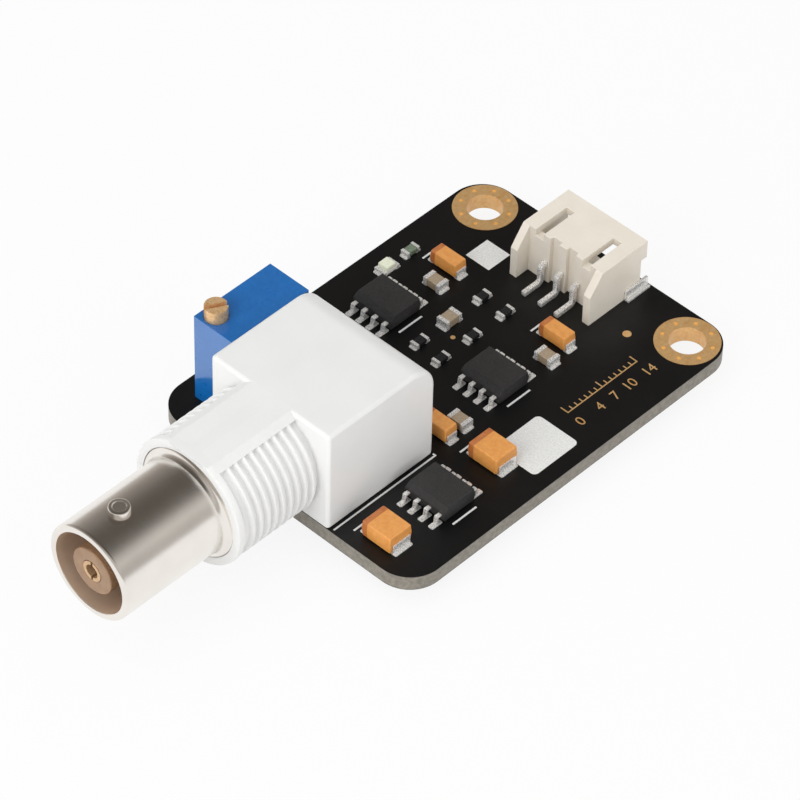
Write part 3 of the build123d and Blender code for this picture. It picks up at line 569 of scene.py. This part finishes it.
def makeHousing(s):
    boxFront = housingHigh.x - s["depth"] * mm
    neckFront = housingLow.x
    flat = coaxZ + s["flatHeight"] * mm
    bm = bmesh.new()
    block = addBlock(
        bm, (boxFront, housingLow.y, boardTop), (housingHigh.x, housingHigh.y, housingHigh.z)
    )
    rear = [
        edge for edge in edgesOf(block)
        if all(vert.co.x > boxFront + mm and vert.co.z > boardTop + mm for vert in edge.verts)
    ]
    bevelEdges(bm, rear, s["rearRadius"] * mm, s["rearSteps"])
    corners = [edge for edge in bm.edges if edge.calc_face_angle(0) > math.radians(40)]
    bevelEdges(bm, corners, s["edge"] * mm, s["edgeSteps"])

    # the neck: collar, thread root and the seat of the metal flange
    inner = s["boreRadius"] * mm
    seat = s["seatRadius"] * mm
    root = s["rootRadius"] * mm
    crest = s["neckRadius"] * mm
    soft = s["softEdge"] * mm
    neckBack = boxFront + s["neckInset"] * mm
    collarBack = neckFront + s["collar"] * mm
    seatBack = neckFront + s["seatDepth"] * mm
    neck = bmesh.new()
    turnProfile(
        neck,
        [
            (neckBack, inner), (neckBack, root), (collarBack + s["collarRamp"] * mm, root),
            (collarBack, crest - soft), (collarBack - soft, crest), (neckFront + soft, crest),
            (neckFront + soft / 3, crest - soft / 3), (neckFront, crest - soft),
            (neckFront, seat + soft / 3), (neckFront + soft / 3, seat),
            (seatBack, seat), (seatBack, inner),
        ],
        s["neckSteps"],
    )
    cutFlat(neck, flat - s["rootSink"] * mm)
    joinInto(bm, neck)

    # the plain land on top, where the thread is left out
    land = bmesh.new()
    landLow = collarBack - soft
    landHigh = boxFront + s["landInset"] * mm
    landFoot = root - soft
    landTop = crest - s["landSink"] * mm
    landEdge = Matrix.Rotation(math.radians(-s["landAngle"]), 3, "X")
    section = [(landLow, landFoot), (landLow, landTop), (landHigh, landTop), (landHigh, landFoot)]
    points = [coaxCentre + landEdge @ Vector((x, 0, r)) for x, r in section]
    sweepSection(land, points, math.radians(2 * s["landAngle"]), s["landSteps"])
    cutFlat(land, flat - s["landSink"] * mm)
    joinInto(bm, land)

    # the thread: one rounded ridge wound round the root
    thread = bmesh.new()
    pitch = s["pitch"] * mm
    start = collarBack + pitch * s["threadStart"]
    height = crest - root
    points = [
        coaxCentre + Vector((start + x * pitch, 0, -root - r * height)) for x, r in s["ridge"]
    ]
    sweepSection(
        thread, points, 2 * math.pi * s["turns"], s["turns"] * s["stepsPerTurn"],
        pitch / s["stepsPerTurn"],
    )
    cutFlat(thread, flat - s["threadSink"] * mm)
    joinInto(bm, thread)
    finishPiece("socketMoulding", bm, whiteMoulding, ("bnc_housing",))


makeHousing(housingSettings)
print("housing and thread made")

# coaxial socket: metal shell with its lugs, and the insulator in its mouth

shellSettings = {
    "radius": 4.8, "bore": 4.06, "boreMargin": 0.02, "rimRound": 0.32, "mouthRound": 0.12,
    "flangeRadius": 5.5, "flange": 0.8, "flangeEdge": 0.08, "cove": 0.6,
    "coveAngles": (0, 0.4, 0.8, 1.2, math.pi / 2), "steps": 160,
    "lugRadius": 1.0, "lugTip": 5.5, "lugFoot": 0.4, "lugSetback": 3.8, "lugSteps": 40,
    "lugEdge": 0.14, "lugRim": 0.18, "lugSlope": 0.1, "lugDish": 0.09,
}


def roundCorner(x, r, radius, first, second, count):
    # points of a rounded corner at (x, r), from heading angle first to second, in degrees
    points = []
    for step in range(count + 1):
        angle = math.radians(first + (second - first) * step / count)
        points.append((x + radius * math.cos(angle), r + radius * math.sin(angle)))
    return points


def lugCap(bm, side, s):
    # the flat end of the lug on that side
    reach = (s["lugTip"] - 0.1) * mm
    return [
        face for face in bm.faces
        if len(face.verts) == s["lugSteps"]
        and (face.calc_center_median().z - coaxZ) * side > reach
    ]


def makeShell(s):
    outer = s["radius"] * mm
    bore = s["bore"] * mm
    rim = s["rimRound"] * mm
    mouth = s["mouthRound"] * mm
    flangeFront = housingLow.x
    flangeBack = flangeFront + s["flange"] * mm
    flange = s["flangeRadius"] * mm
    soft = s["flangeEdge"] * mm
    cove = s["cove"] * mm
    bm = bmesh.new()
    section = roundCorner(coaxFront + mouth, bore + mouth, mouth, 270, 180, 3)
    section += roundCorner(coaxFront + rim, outer - rim, rim, 180, 90, 5)
    section += [
        (flangeFront - cove + cove * math.sin(angle), outer + cove - cove * math.cos(angle))
        for angle in s["coveAngles"]
    ]
    section += [
        (flangeFront, flange - soft), (flangeFront + soft, flange), (flangeBack, flange),
        (flangeBack, outer), (shellHigh.x, outer), (shellHigh.x, bore),
    ]
    turnProfile(bm, section, s["steps"])
    # faces inside the bore take the darker, warmer nickel copy: painted shade and a painted warm
    # reflection
    for face in bm.faces:
        middle = face.calc_center_median()
        away = math.hypot(middle.y - coaxY, middle.z - coaxZ)
        face.material_index = 1 if away < bore + s["boreMargin"] * mm else 0

    # two lugs, above and below, each with a shallow dish in its end
    tip = s["lugTip"] * mm
    foot = (s["bore"] + s["lugFoot"]) * mm
    for side in (1, -1):
        bmesh.ops.create_cone(
            bm, cap_ends=True, segments=s["lugSteps"], radius1=s["lugRadius"] * mm,
            radius2=s["lugRadius"] * mm, depth=tip - foot,
            matrix=Matrix.Translation(
                (coaxFront + s["lugSetback"] * mm, coaxY, coaxZ + side * (tip + foot) / 2)
            ),
        )
        bevelEdges(bm, list(lugCap(bm, side, s)[0].edges), s["lugEdge"] * mm, 3)
        cap = lugCap(bm, side, s)
        bmesh.ops.inset_region(bm, faces=cap, thickness=s["lugRim"] * mm, depth=0)
        bmesh.ops.inset_region(
            bm, faces=cap, thickness=s["lugSlope"] * mm, depth=-s["lugDish"] * mm
        )
    finishPiece("barrelShell", bm, [nickelPlate, nickelBorePaintedShade], ("bnc_shell",))


insulatorSettings = {
    "nose": 2.35, "hole": 1.06, "recess": 0.4, "depth": 8.6, "plug": 4.04, "plugTaper": 0.74,
    "round": 0.14, "steps": 96,
}


def makeInsulator(s):
    front = coaxFront + s["recess"] * mm
    back = coaxFront + s["depth"] * mm
    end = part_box("bnc_insulator")[1].x
    nose = s["nose"] * mm
    hole = s["hole"] * mm
    plug = s["plug"] * mm
    soft = s["round"] * mm
    section = roundCorner(front + soft, hole + soft, soft, 270, 180, 3)
    section += roundCorner(front + soft, nose - soft, soft, 180, 90, 4)
    section += [(back, nose), (back, plug), (end, plug * s["plugTaper"]), (end, hole)]
    bm = bmesh.new()
    turnProfile(bm, section, s["steps"])
    # the insulator's brown is painted shade
    finishPiece("mouthInsulator", bm, insulatorPlasticPaintedShade, ("bnc_insulator",))


makeShell(shellSettings)
makeInsulator(insulatorSettings)
print("shell and insulator made")

# softened copies of the flat-sided pieces

softSettings = {
    # width of the rounding in mm, its segments, least angle of an edge that is rounded
    "trimmerCase": (0.16, 3, 25), "connector": (0.10, 2, 25), "connectorPin": (0.07, 2, 30),
    "connectorTab": (0.05, 2, 25), "chip": (0.07, 2, 25), "chipLeads": (0.045, 2, 25),
    "tantalum": (0.12, 3, 25), "tantalumEnds": (0.03, 2, 25), "resistor": (0.04, 2, 25),
    "ceramic": (0.06, 2, 25), "ceramicEnds": (0.06, 3, 25), "smallEnds": (0.04, 2, 25),
    "lampBase": (0.04, 2, 25), "lampLens": (0.12, 3, 25), "diode": (0.08, 3, 25),
}


def softCopy(node, kind, material):
    width, segments, corner = softSettings[kind]
    bm = bmesh.new()
    bm.from_mesh(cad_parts[node].data)
    bmesh.ops.remove_doubles(bm, verts=bm.verts, dist=meshSettings["mergeGap"])
    bmesh.ops.dissolve_limit(
        bm, angle_limit=math.radians(meshSettings["flatAngle"]), verts=bm.verts, edges=bm.edges,
        use_dissolve_boundaries=False,
    )
    edges = [
        edge for edge in bm.edges
        if len(edge.link_faces) == 2 and edge.calc_face_angle(0) > math.radians(corner)
    ]
    bevelEdges(bm, edges, width * mm, segments)
    name = "".join(word.capitalize() for word in node.split("_"))
    finishPiece("dressed" + name, bm, material, (node,))


softCopy("trimmer_housing", "trimmerCase", blueMoulding)
softCopy("socket_housing", "connector", creamMoulding)
for number in (1, 2, 3):
    softCopy(f"chip_{number}_body", "chip", chipMoulding)
    softCopy(f"chip_{number}_leads", "chipLeads", tinPlate)
    softCopy(f"socket_contact_{number}", "connectorPin", tinPlate)
for number in range(1, 6):
    orange = tantalumMaterial(number, tantalumSettings)
    softCopy(f"tantalum_{number}_body", "tantalum", orange)
    softCopy(f"tantalum_{number}_terminals", "tantalumEnds", tinPlate)
    softCopy(f"resistor_{number}_body", "resistor", resistorTop)
for number in range(1, 5):
    softCopy(f"ceramic_{number}_body", "ceramic", ceramicBody)
softCopy("ceramic_terminals", "ceramicEnds", tinPlate)
softCopy("chip_terminals", "smallEnds", tinPlate)
softCopy("led_base", "lampBase", lampBase)
softCopy("led_lens", "lampLens", lampLens)
softCopy("diode_body", "diode", diodeGlass)
softCopy("socket_tab_near", "connectorTab", tinPlate)
softCopy("socket_tab_far", "connectorTab", tinPlate)
print("small parts softened")

# printing on the board, all in millimetres on its top face

printSettings = {
    "lift": 0.004, "ink": 0.012, "bar": (3.0, 0.2), "chipBarGap": 0.45, "tantalumBarGap": 0.75,
    "square": (24.7, 8.0, 2.9), "badge": (6.9, -14.35, 12.7, -9.4), "badgeRound": 0.5,
    "sideLine": (-10.3, 2.63, -6.39), "lineHook": 0.3, "lineWidth": 0.18,
    "markAt": (-9.1, 11.6), "markSize": 0.9,
}


def addInk(bm, x0, y0, x1, y1, s, rounded=0.0):
    # one printed patch
    low = Vector((x0 * mm, y0 * mm, boardTop + s["lift"] * mm))
    high = Vector((x1 * mm, y1 * mm, boardTop + (s["lift"] + s["ink"]) * mm))
    verts = addBlock(bm, low, high)
    if rounded:
        bevelEdges(bm, uprightEdges(verts), rounded * mm, 4)


def makePrint(s):
    bm = bmesh.new()
    length, width = s["bar"]
    for number in (1, 2, 3):
        x, y, _, deep = nodeFrame(f"chip_{number}_body")
        edge = y - deep / 2 - s["chipBarGap"]
        addInk(bm, x - length / 2, edge - width, x + length / 2, edge, s)
    for number in range(1, 6):
        x, y, wide, deep = nodeFrame(f"tantalum_{number}_body")
        edge = y + deep / 2 + s["tantalumBarGap"]
        addInk(bm, x - wide / 2, edge, x + wide / 2, edge + width, s)
    x, y, size = s["square"]
    addInk(bm, x - size / 2, y - size / 2, x + size / 2, y + size / 2, s)
    addInk(bm, *s["badge"], s, s["badgeRound"])

    # the line beside the coaxial housing, with a short hook at its end
    x0, x1, y = s["sideLine"]
    half = s["lineWidth"] / 2
    addInk(bm, x0, y - half, x1, y + half, s)
    addInk(bm, x1 - 2 * half, y + half, x1, y + s["lineHook"], s)

    # a plus mark by the trimmer
    x, y = s["markAt"]
    reach = s["markSize"] / 2
    addInk(bm, x - half, y - reach, x + half, y + reach, s)
    addInk(bm, x - reach, y - half, x - half, y + half, s)
    addInk(bm, x + half, y - half, x + reach, y + half, s)
    finishPiece("whitePrinting", bm, whitePrint)


scaleSettings = {
    "lift": 0.004, "ink": 0.014, "left": 14.8, "right": 24.0, "line": -11.1, "width": 0.12,
    "ticks": 15, "tick": 0.9, "shortTick": 0.55, "longEvery": 7, "last": 14,
    "numbers": ("0", "4", "7", "10", "14"), "numberSize": 1.5, "numberDrop": 2.0,
    # bare spots of gold: x, y, radius
    "spots": [(26.02, -8.09, 0.42), (14.5, 2.8, 0.24)], "spotThick": 0.02, "spotSteps": 28,
}


def makeScale(s):
    # a plain pH scale from 0 to 14 in bare gold
    bm = bmesh.new()
    half = s["width"] / 2
    line = s["line"]
    addInk(bm, s["left"] - half, line - half, s["right"] + half, line + half, s)
    step = (s["right"] - s["left"]) / (s["ticks"] - 1)
    for tick in range(s["ticks"]):
        x = s["left"] + tick * step
        reach = s["tick"] * (1.0 if tick % s["longEvery"] == 0 else s["shortTick"])
        addInk(bm, x - half, line + half, x + half, line + reach, s)
    for label in s["numbers"]:
        words = bpy.data.curves.new("scaleNumber", "FONT")
        words.body = label
        words.align_x = "CENTER"
        words.size = s["numberSize"] * mm
        words.extrude = s["ink"] / 2 * mm
        holder = bpy.data.objects.new("scaleNumber", words)
        mesh = bpy.data.meshes.new_from_object(holder)
        x = s["left"] + int(label) / s["last"] * (s["right"] - s["left"])
        height = boardTop + (s["lift"] + s["ink"] / 2) * mm
        mesh.transform(Matrix.Translation((x * mm, (line - s["numberDrop"]) * mm, height)))
        bm.from_mesh(mesh)
        bpy.data.objects.remove(holder)
        bpy.data.meshes.remove(mesh)
        bpy.data.curves.remove(words)
    middleZ = boardTop + (s["lift"] + s["spotThick"] / 2) * mm
    for x, y, radius in s["spots"]:
        addDisc(bm, x, y, middleZ, radius, s["spotThick"], s["spotSteps"])
    finishPiece("goldScale", bm, goldPlate)


makePrint(printSettings)
makeScale(scaleSettings)
print("printing made")

# solder pads under the small parts, and vias round the mounting holes

padSettings = {
    "lift": 0.003, "height": 0.07, "soft": 0.05, "cornerShare": 0.22,
    "chipPad": (1.35, 0.62), "chipOut": 0.25, "pitch": 1.27,
    # how far a pad reaches out from a part's end and in under it
    "endOut": 0.32, "endIn": 0.45, "smallOut": 0.256, "endWider": 1.05, "smallWider": 1.06,
}


def addPad(bm, x, y, wide, deep, s):
    low = Vector(((x - wide / 2) * mm, (y - deep / 2) * mm, boardTop + s["lift"] * mm))
    high = Vector(((x + wide / 2) * mm, (y + deep / 2) * mm, boardTop + s["height"] * mm))
    verts = addBlock(bm, low, high)
    bevelEdges(bm, uprightEdges(verts), min(wide, deep) * s["cornerShare"] * mm, 3)
    gap = 1e-6

    def onTop(vert):
        return (
            vert.co.z > high.z - gap
            and low.x - gap < vert.co.x < high.x + gap
            and low.y - gap < vert.co.y < high.y + gap
        )

    top = [
        edge for edge in bm.edges
        if all(onTop(vert) for vert in edge.verts)
        and any(abs(face.normal.z) < 0.5 for face in edge.link_faces)
    ]
    bevelEdges(bm, top, s["soft"] * mm, 2)


def makePads(s):
    bm = bmesh.new()
    padWide, padDeep = s["chipPad"]
    for number in (1, 2, 3):
        x, y, wide, _ = nodeFrame(f"chip_{number}_leads")
        for side in (-1, 1):
            padX = x + side * (wide / 2 + s["chipOut"] - padWide / 2)
            for row in (-1.5, -0.5, 0.5, 1.5):
                addPad(bm, padX, y + row * s["pitch"], padWide, padDeep, s)
    for number in range(1, 6):
        x, y, wide, deep = nodeFrame(f"tantalum_{number}_terminals")
        for side in (-1, 1):
            padY = y + side * (deep / 2 + (s["endOut"] - s["endIn"]) / 2)
            addPad(bm, x, padY, wide * s["endWider"], s["endOut"] + s["endIn"], s)
    small = [f"ceramic_{number}_body" for number in range(1, 5)]
    small += [f"resistor_{number}_body" for number in range(1, 6)]
    small += ["led_base", "diode_body"]
    length = s["smallOut"] + s["endIn"]
    shift = (s["smallOut"] - s["endIn"]) / 2
    for node in small:
        x, y, wide, deep = nodeFrame(node)
        for side in (-1, 1):
            if wide > deep:
                padX = x + side * (wide / 2 + shift)
                addPad(bm, padX, y, length, deep * s["smallWider"], s)
            else:
                padY = y + side * (deep / 2 + shift)
                addPad(bm, x, padY, wide * s["smallWider"], length, s)
    finishPiece("solderPads", bm, tinPlate)


ringSettings = {"vias": 8, "ring": 2.42, "radius": 0.2, "thick": 0.02, "sink": 0.006, "steps": 20}


def makeRingVias(s):
    bm = bmesh.new()
    for node in ("mounting_ring_near", "mounting_ring_far"):
        x, y = nodeFrame(node)[:2]
        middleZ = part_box(node)[1].z + (s["thick"] / 2 - s["sink"]) * mm
        for number in range(s["vias"]):
            angle = 2 * math.pi * (number + 0.5) / s["vias"]
            viaX = x + s["ring"] * math.cos(angle)
            viaY = y + s["ring"] * math.sin(angle)
            addDisc(bm, viaX, viaY, middleZ, s["radius"], s["thick"], s["steps"])
    # the vias are coloured with painted highlights
    finishPiece("ringVias", bm, viaPaintedHighlight)


makePads(padSettings)
makeRingVias(ringSettings)
print("pads and vias made")

# materials for the CAD nodes that stay

nodeMaterials = {
    "circuit_board": boardLaminate,
    "mounting_ring_near": goldPlate, "mounting_ring_far": goldPlate,
    "bnc_center_contact": dullContact, "bnc_ground_contact": tinPlate,
    "bnc_post_near": tinPlate, "bnc_post_far": tinPlate,
    "trimmer_screw": turnedBrass, "trimmer_seal": rubberRing, "trimmer_rotor": rotorPlastic,
    "trimmer_wiper": tinPlate, "trimmer_element": ceramicPlate, "trimmer_base": baseResin,
    "trimmer_pin_1": tinPlate, "trimmer_pin_2": tinPlate, "trimmer_pin_3": tinPlate,
    "solder_joints": tinPlate,
}
for node, material in nodeMaterials.items():
    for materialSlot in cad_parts[node].material_slots:
        materialSlot.material = material
print("CAD nodes dressed")

# studio: floor, light and camera

cameraSettings = {
    # target and distance in millimetres, angles in degrees
    "target": (5.338, 0.638, 3.1), "distance": 432.304, "azimuth": -47.1457,
    "elevation": 45.0444, "roll": 1.4737, "lens": 217.34, "sensor": 36, "clipStart": 0.01,
}
lampSettings = {
    "aim": (0, 0, 0.005), "size": 0.40,
    "keyLamp": ((-0.40, -0.02, 0.20), 1.15),
    "fillLamp": ((0.02, -0.42, 0.16), 0.5),
    "topLamp": ((-0.05, 0.10, 0.45), 0.42),
}
floorSettings = {"size": 2, "grey": 0.82, "roughness": 0.9, "whiteShare": 0.88}
worldSettings = {
    "ambient": 0.62, "turnWidth": 0.25,
    # what metal mirrors: (height of the direction from -1 to 1, grey, warmth)
    "frontStops": [
        (-0.05, 1.0, 0.0), (0.06, 0.52, 0.03), (0.17, 0.45, 0.05), (0.34, 0.50, 0.05),
        (0.50, 0.60, 0.04), (0.64, 0.48, 0.04), (0.74, 0.26, 0.06), (0.81, 0.14, 0.08),
        (0.90, 0.075, 0.15),
    ],
    "backStops": [
        (-0.60, 1.0, 0.0), (-0.20, 0.75, 0.02), (0.0, 0.52, 0.04), (0.17, 0.40, 0.08),
        (0.34, 0.27, 0.09), (0.64, 0.17, 0.1), (0.78, 0.11, 0.12), (0.90, 0.075, 0.15),
    ],
}


def makeCamera(s):
    azimuth = math.radians(s["azimuth"])
    elevation = math.radians(s["elevation"])
    roll = math.radians(s["roll"])
    back = Vector((
        math.sin(azimuth) * math.cos(elevation),
        -math.cos(azimuth) * math.cos(elevation),
        math.sin(elevation),
    ))
    right = Vector((0, 0, 1)).cross(back).normalized()
    up = back.cross(right)
    turnedRight = math.cos(roll) * right + math.sin(roll) * up
    turnedUp = math.cos(roll) * up - math.sin(roll) * right
    camera = bpy.data.objects.new("camera", bpy.data.cameras.new("camera"))
    camera.data.sensor_width = s["sensor"]
    camera.data.lens = s["lens"]
    camera.data.clip_start = s["clipStart"]
    place = Matrix((turnedRight, turnedUp, back)).transposed().to_4x4()
    place.translation = Vector(s["target"]) * mm + back * s["distance"] * mm
    camera.matrix_world = place
    bpy.context.collection.objects.link(camera)
    bpy.context.scene.camera = camera


def makeLamp(name, s):
    place, power = s[name]
    lamp = bpy.data.objects.new(name, bpy.data.lights.new(name, "AREA"))
    lamp.data.shape = "DISK"
    lamp.data.size = s["size"]
    lamp.data.energy = power
    lamp.location = place
    lamp.visible_glossy = False  # metal mirrors the studio instead of the lamps
    lamp.rotation_mode = "QUATERNION"
    lamp.rotation_quaternion = (Vector(s["aim"]) - Vector(place)).to_track_quat("-Z", "Y")
    bpy.context.collection.objects.link(lamp)


def makeFloor(s):
    # pale paper that takes the shadow; the camera and shiny surfaces see it nearly white
    bm = bmesh.new()
    bmesh.ops.create_grid(bm, x_segments=1, y_segments=1, size=s["size"])
    mesh = bpy.data.meshes.new("floor")
    bm.to_mesh(mesh)
    bm.free()
    floor = bpy.data.objects.new("floor", mesh)
    bpy.context.collection.objects.link(floor)
    grey = s["grey"]
    material, tree, shader = startMaterial("floorPaper", s["roughness"])
    setInputs(shader, {"Base Color": (grey, grey, grey, 1)})
    path = addNode(tree, "ShaderNodeLightPath", -600)
    seen = addNode(tree, "ShaderNodeMath", -400, operation="MAXIMUM")
    clear = addNode(tree, "ShaderNodeMath", -200, operation="MAXIMUM")
    glow = addNode(tree, "ShaderNodeEmission", 0, 200)
    setInputs(glow, {"Color": (1, 1, 1, 1)})
    share = addNode(tree, "ShaderNodeMath", 0, -200, operation="MULTIPLY")
    share.inputs[1].default_value = s["whiteShare"]
    blend = addNode(tree, "ShaderNodeMixShader", 250)
    joinNodes(
        tree,
        (path.outputs["Is Camera Ray"], seen.inputs[0]),
        (path.outputs["Is Glossy Ray"], seen.inputs[1]),
        (seen.outputs[0], clear.inputs[0]),
        (path.outputs["Is Transmission Ray"], clear.inputs[1]),
        (clear.outputs[0], share.inputs[0]),
        (share.outputs[0], blend.inputs["Fac"]),
        (shader.outputs["BSDF"], blend.inputs[1]),
        (glow.outputs["Emission"], blend.inputs[2]),
        (blend.outputs["Shader"], tree.nodes["Material Output"].inputs["Surface"]),
    )
    mesh.materials.append(material)


def heightRamp(tree, source, stops, y):
    ramp = addNode(tree, "ShaderNodeValToRGB", -700, y)
    elements = ramp.color_ramp.elements
    while len(elements) < len(stops):
        elements.new(0.5)
    for element, (height, grey, warmth) in zip(elements, stops):
        element.position = (height + 1) / 2
        element.color = (grey * (1 + warmth), grey, grey * (1 - warmth), 1)
    tree.links.new(source, ramp.inputs["Fac"])
    return ramp.outputs["Color"]


def makeWorld(s):
    # metal and glass see white floor and horizon, a soft panel in front and a dark ceiling
    world = bpy.data.worlds.new("studio")
    world.use_nodes = True
    bpy.context.scene.world = world
    tree = world.node_tree
    background = tree.nodes["Background"]
    place = addNode(tree, "ShaderNodeTexCoord", -1400)
    split = addNode(tree, "ShaderNodeSeparateXYZ", -1200)
    half = addNode(tree, "ShaderNodeMath", -1000, 200, operation="MULTIPLY_ADD")
    half.inputs[1].default_value = 0.5
    half.inputs[2].default_value = 0.5
    joinNodes(
        tree,
        (place.outputs["Generated"], split.inputs["Vector"]),
        (split.outputs["Z"], half.inputs[0]),
    )
    front = heightRamp(tree, half.outputs[0], s["frontStops"], 300)
    back = heightRamp(tree, half.outputs[0], s["backStops"], 0)
    facing = addNode(tree, "ShaderNodeMapRange", -700, -300, interpolation_type="SMOOTHSTEP")
    setInputs(facing, {"From Min": -s["turnWidth"], "From Max": s["turnWidth"]})
    tree.links.new(split.outputs["Y"], facing.inputs["Value"])
    mirrored = mixColours(tree, facing.outputs["Result"], front, back, -400, 200)
    path = addNode(tree, "ShaderNodeLightPath", -1000, -600)
    shiny = addNode(tree, "ShaderNodeMath", -700, -500, operation="MAXIMUM")
    joinNodes(
        tree,
        (path.outputs["Is Glossy Ray"], shiny.inputs[0]),
        (path.outputs["Is Transmission Ray"], shiny.inputs[1]),
    )
    grey = s["ambient"]
    lit = mixColours(tree, shiny.outputs[0], (grey, grey, grey), mirrored, -200, 200)
    seen = mixColours(tree, path.outputs["Is Camera Ray"], lit, (1, 1, 1), 0, 200)
    tree.links.new(seen, background.inputs["Color"])


makeCamera(cameraSettings)
makeFloor(floorSettings)
makeWorld(worldSettings)
for name in ("keyLamp", "fillLamp", "topLamp"):
    makeLamp(name, lampSettings)
bpy.context.scene.view_settings.view_transform = "Standard"
print("studio set")
